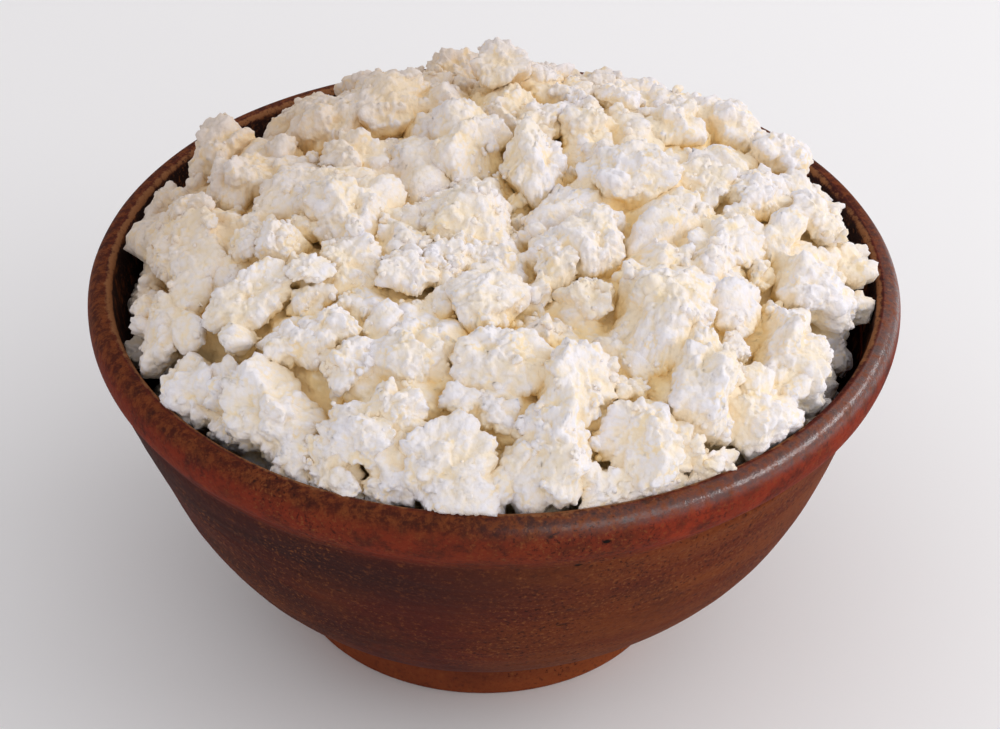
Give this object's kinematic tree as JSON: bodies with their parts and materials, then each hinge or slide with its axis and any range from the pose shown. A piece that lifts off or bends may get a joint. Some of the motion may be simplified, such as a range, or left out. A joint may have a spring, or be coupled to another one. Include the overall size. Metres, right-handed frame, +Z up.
{
  "type": "bowl of cottage cheese",
  "caption": "Footed earthenware bowl with a rolled collar, heaped above its rim with large, crumbly curds of cottage cheese.",
  "frame": {"origin": "middle of the foot's flat underside", "axes": "+Z up along the bowl's axis, -Y to the front, the side seen first"},
  "size_m": [0.22, 0.22, 0.1434],
  "materials": {
    "earthenware": "red-brown lead-glazed earthenware, hand thrown, glossy with pits and worn tan edges",
    "cheese": "dry, grainy fresh cheese curd, white with cream hollows"
  },
  "bodies": {
    "root": {"bowl": "earthenware", "cottage_cheese": "cheese"}
  },
  "joints": []
}
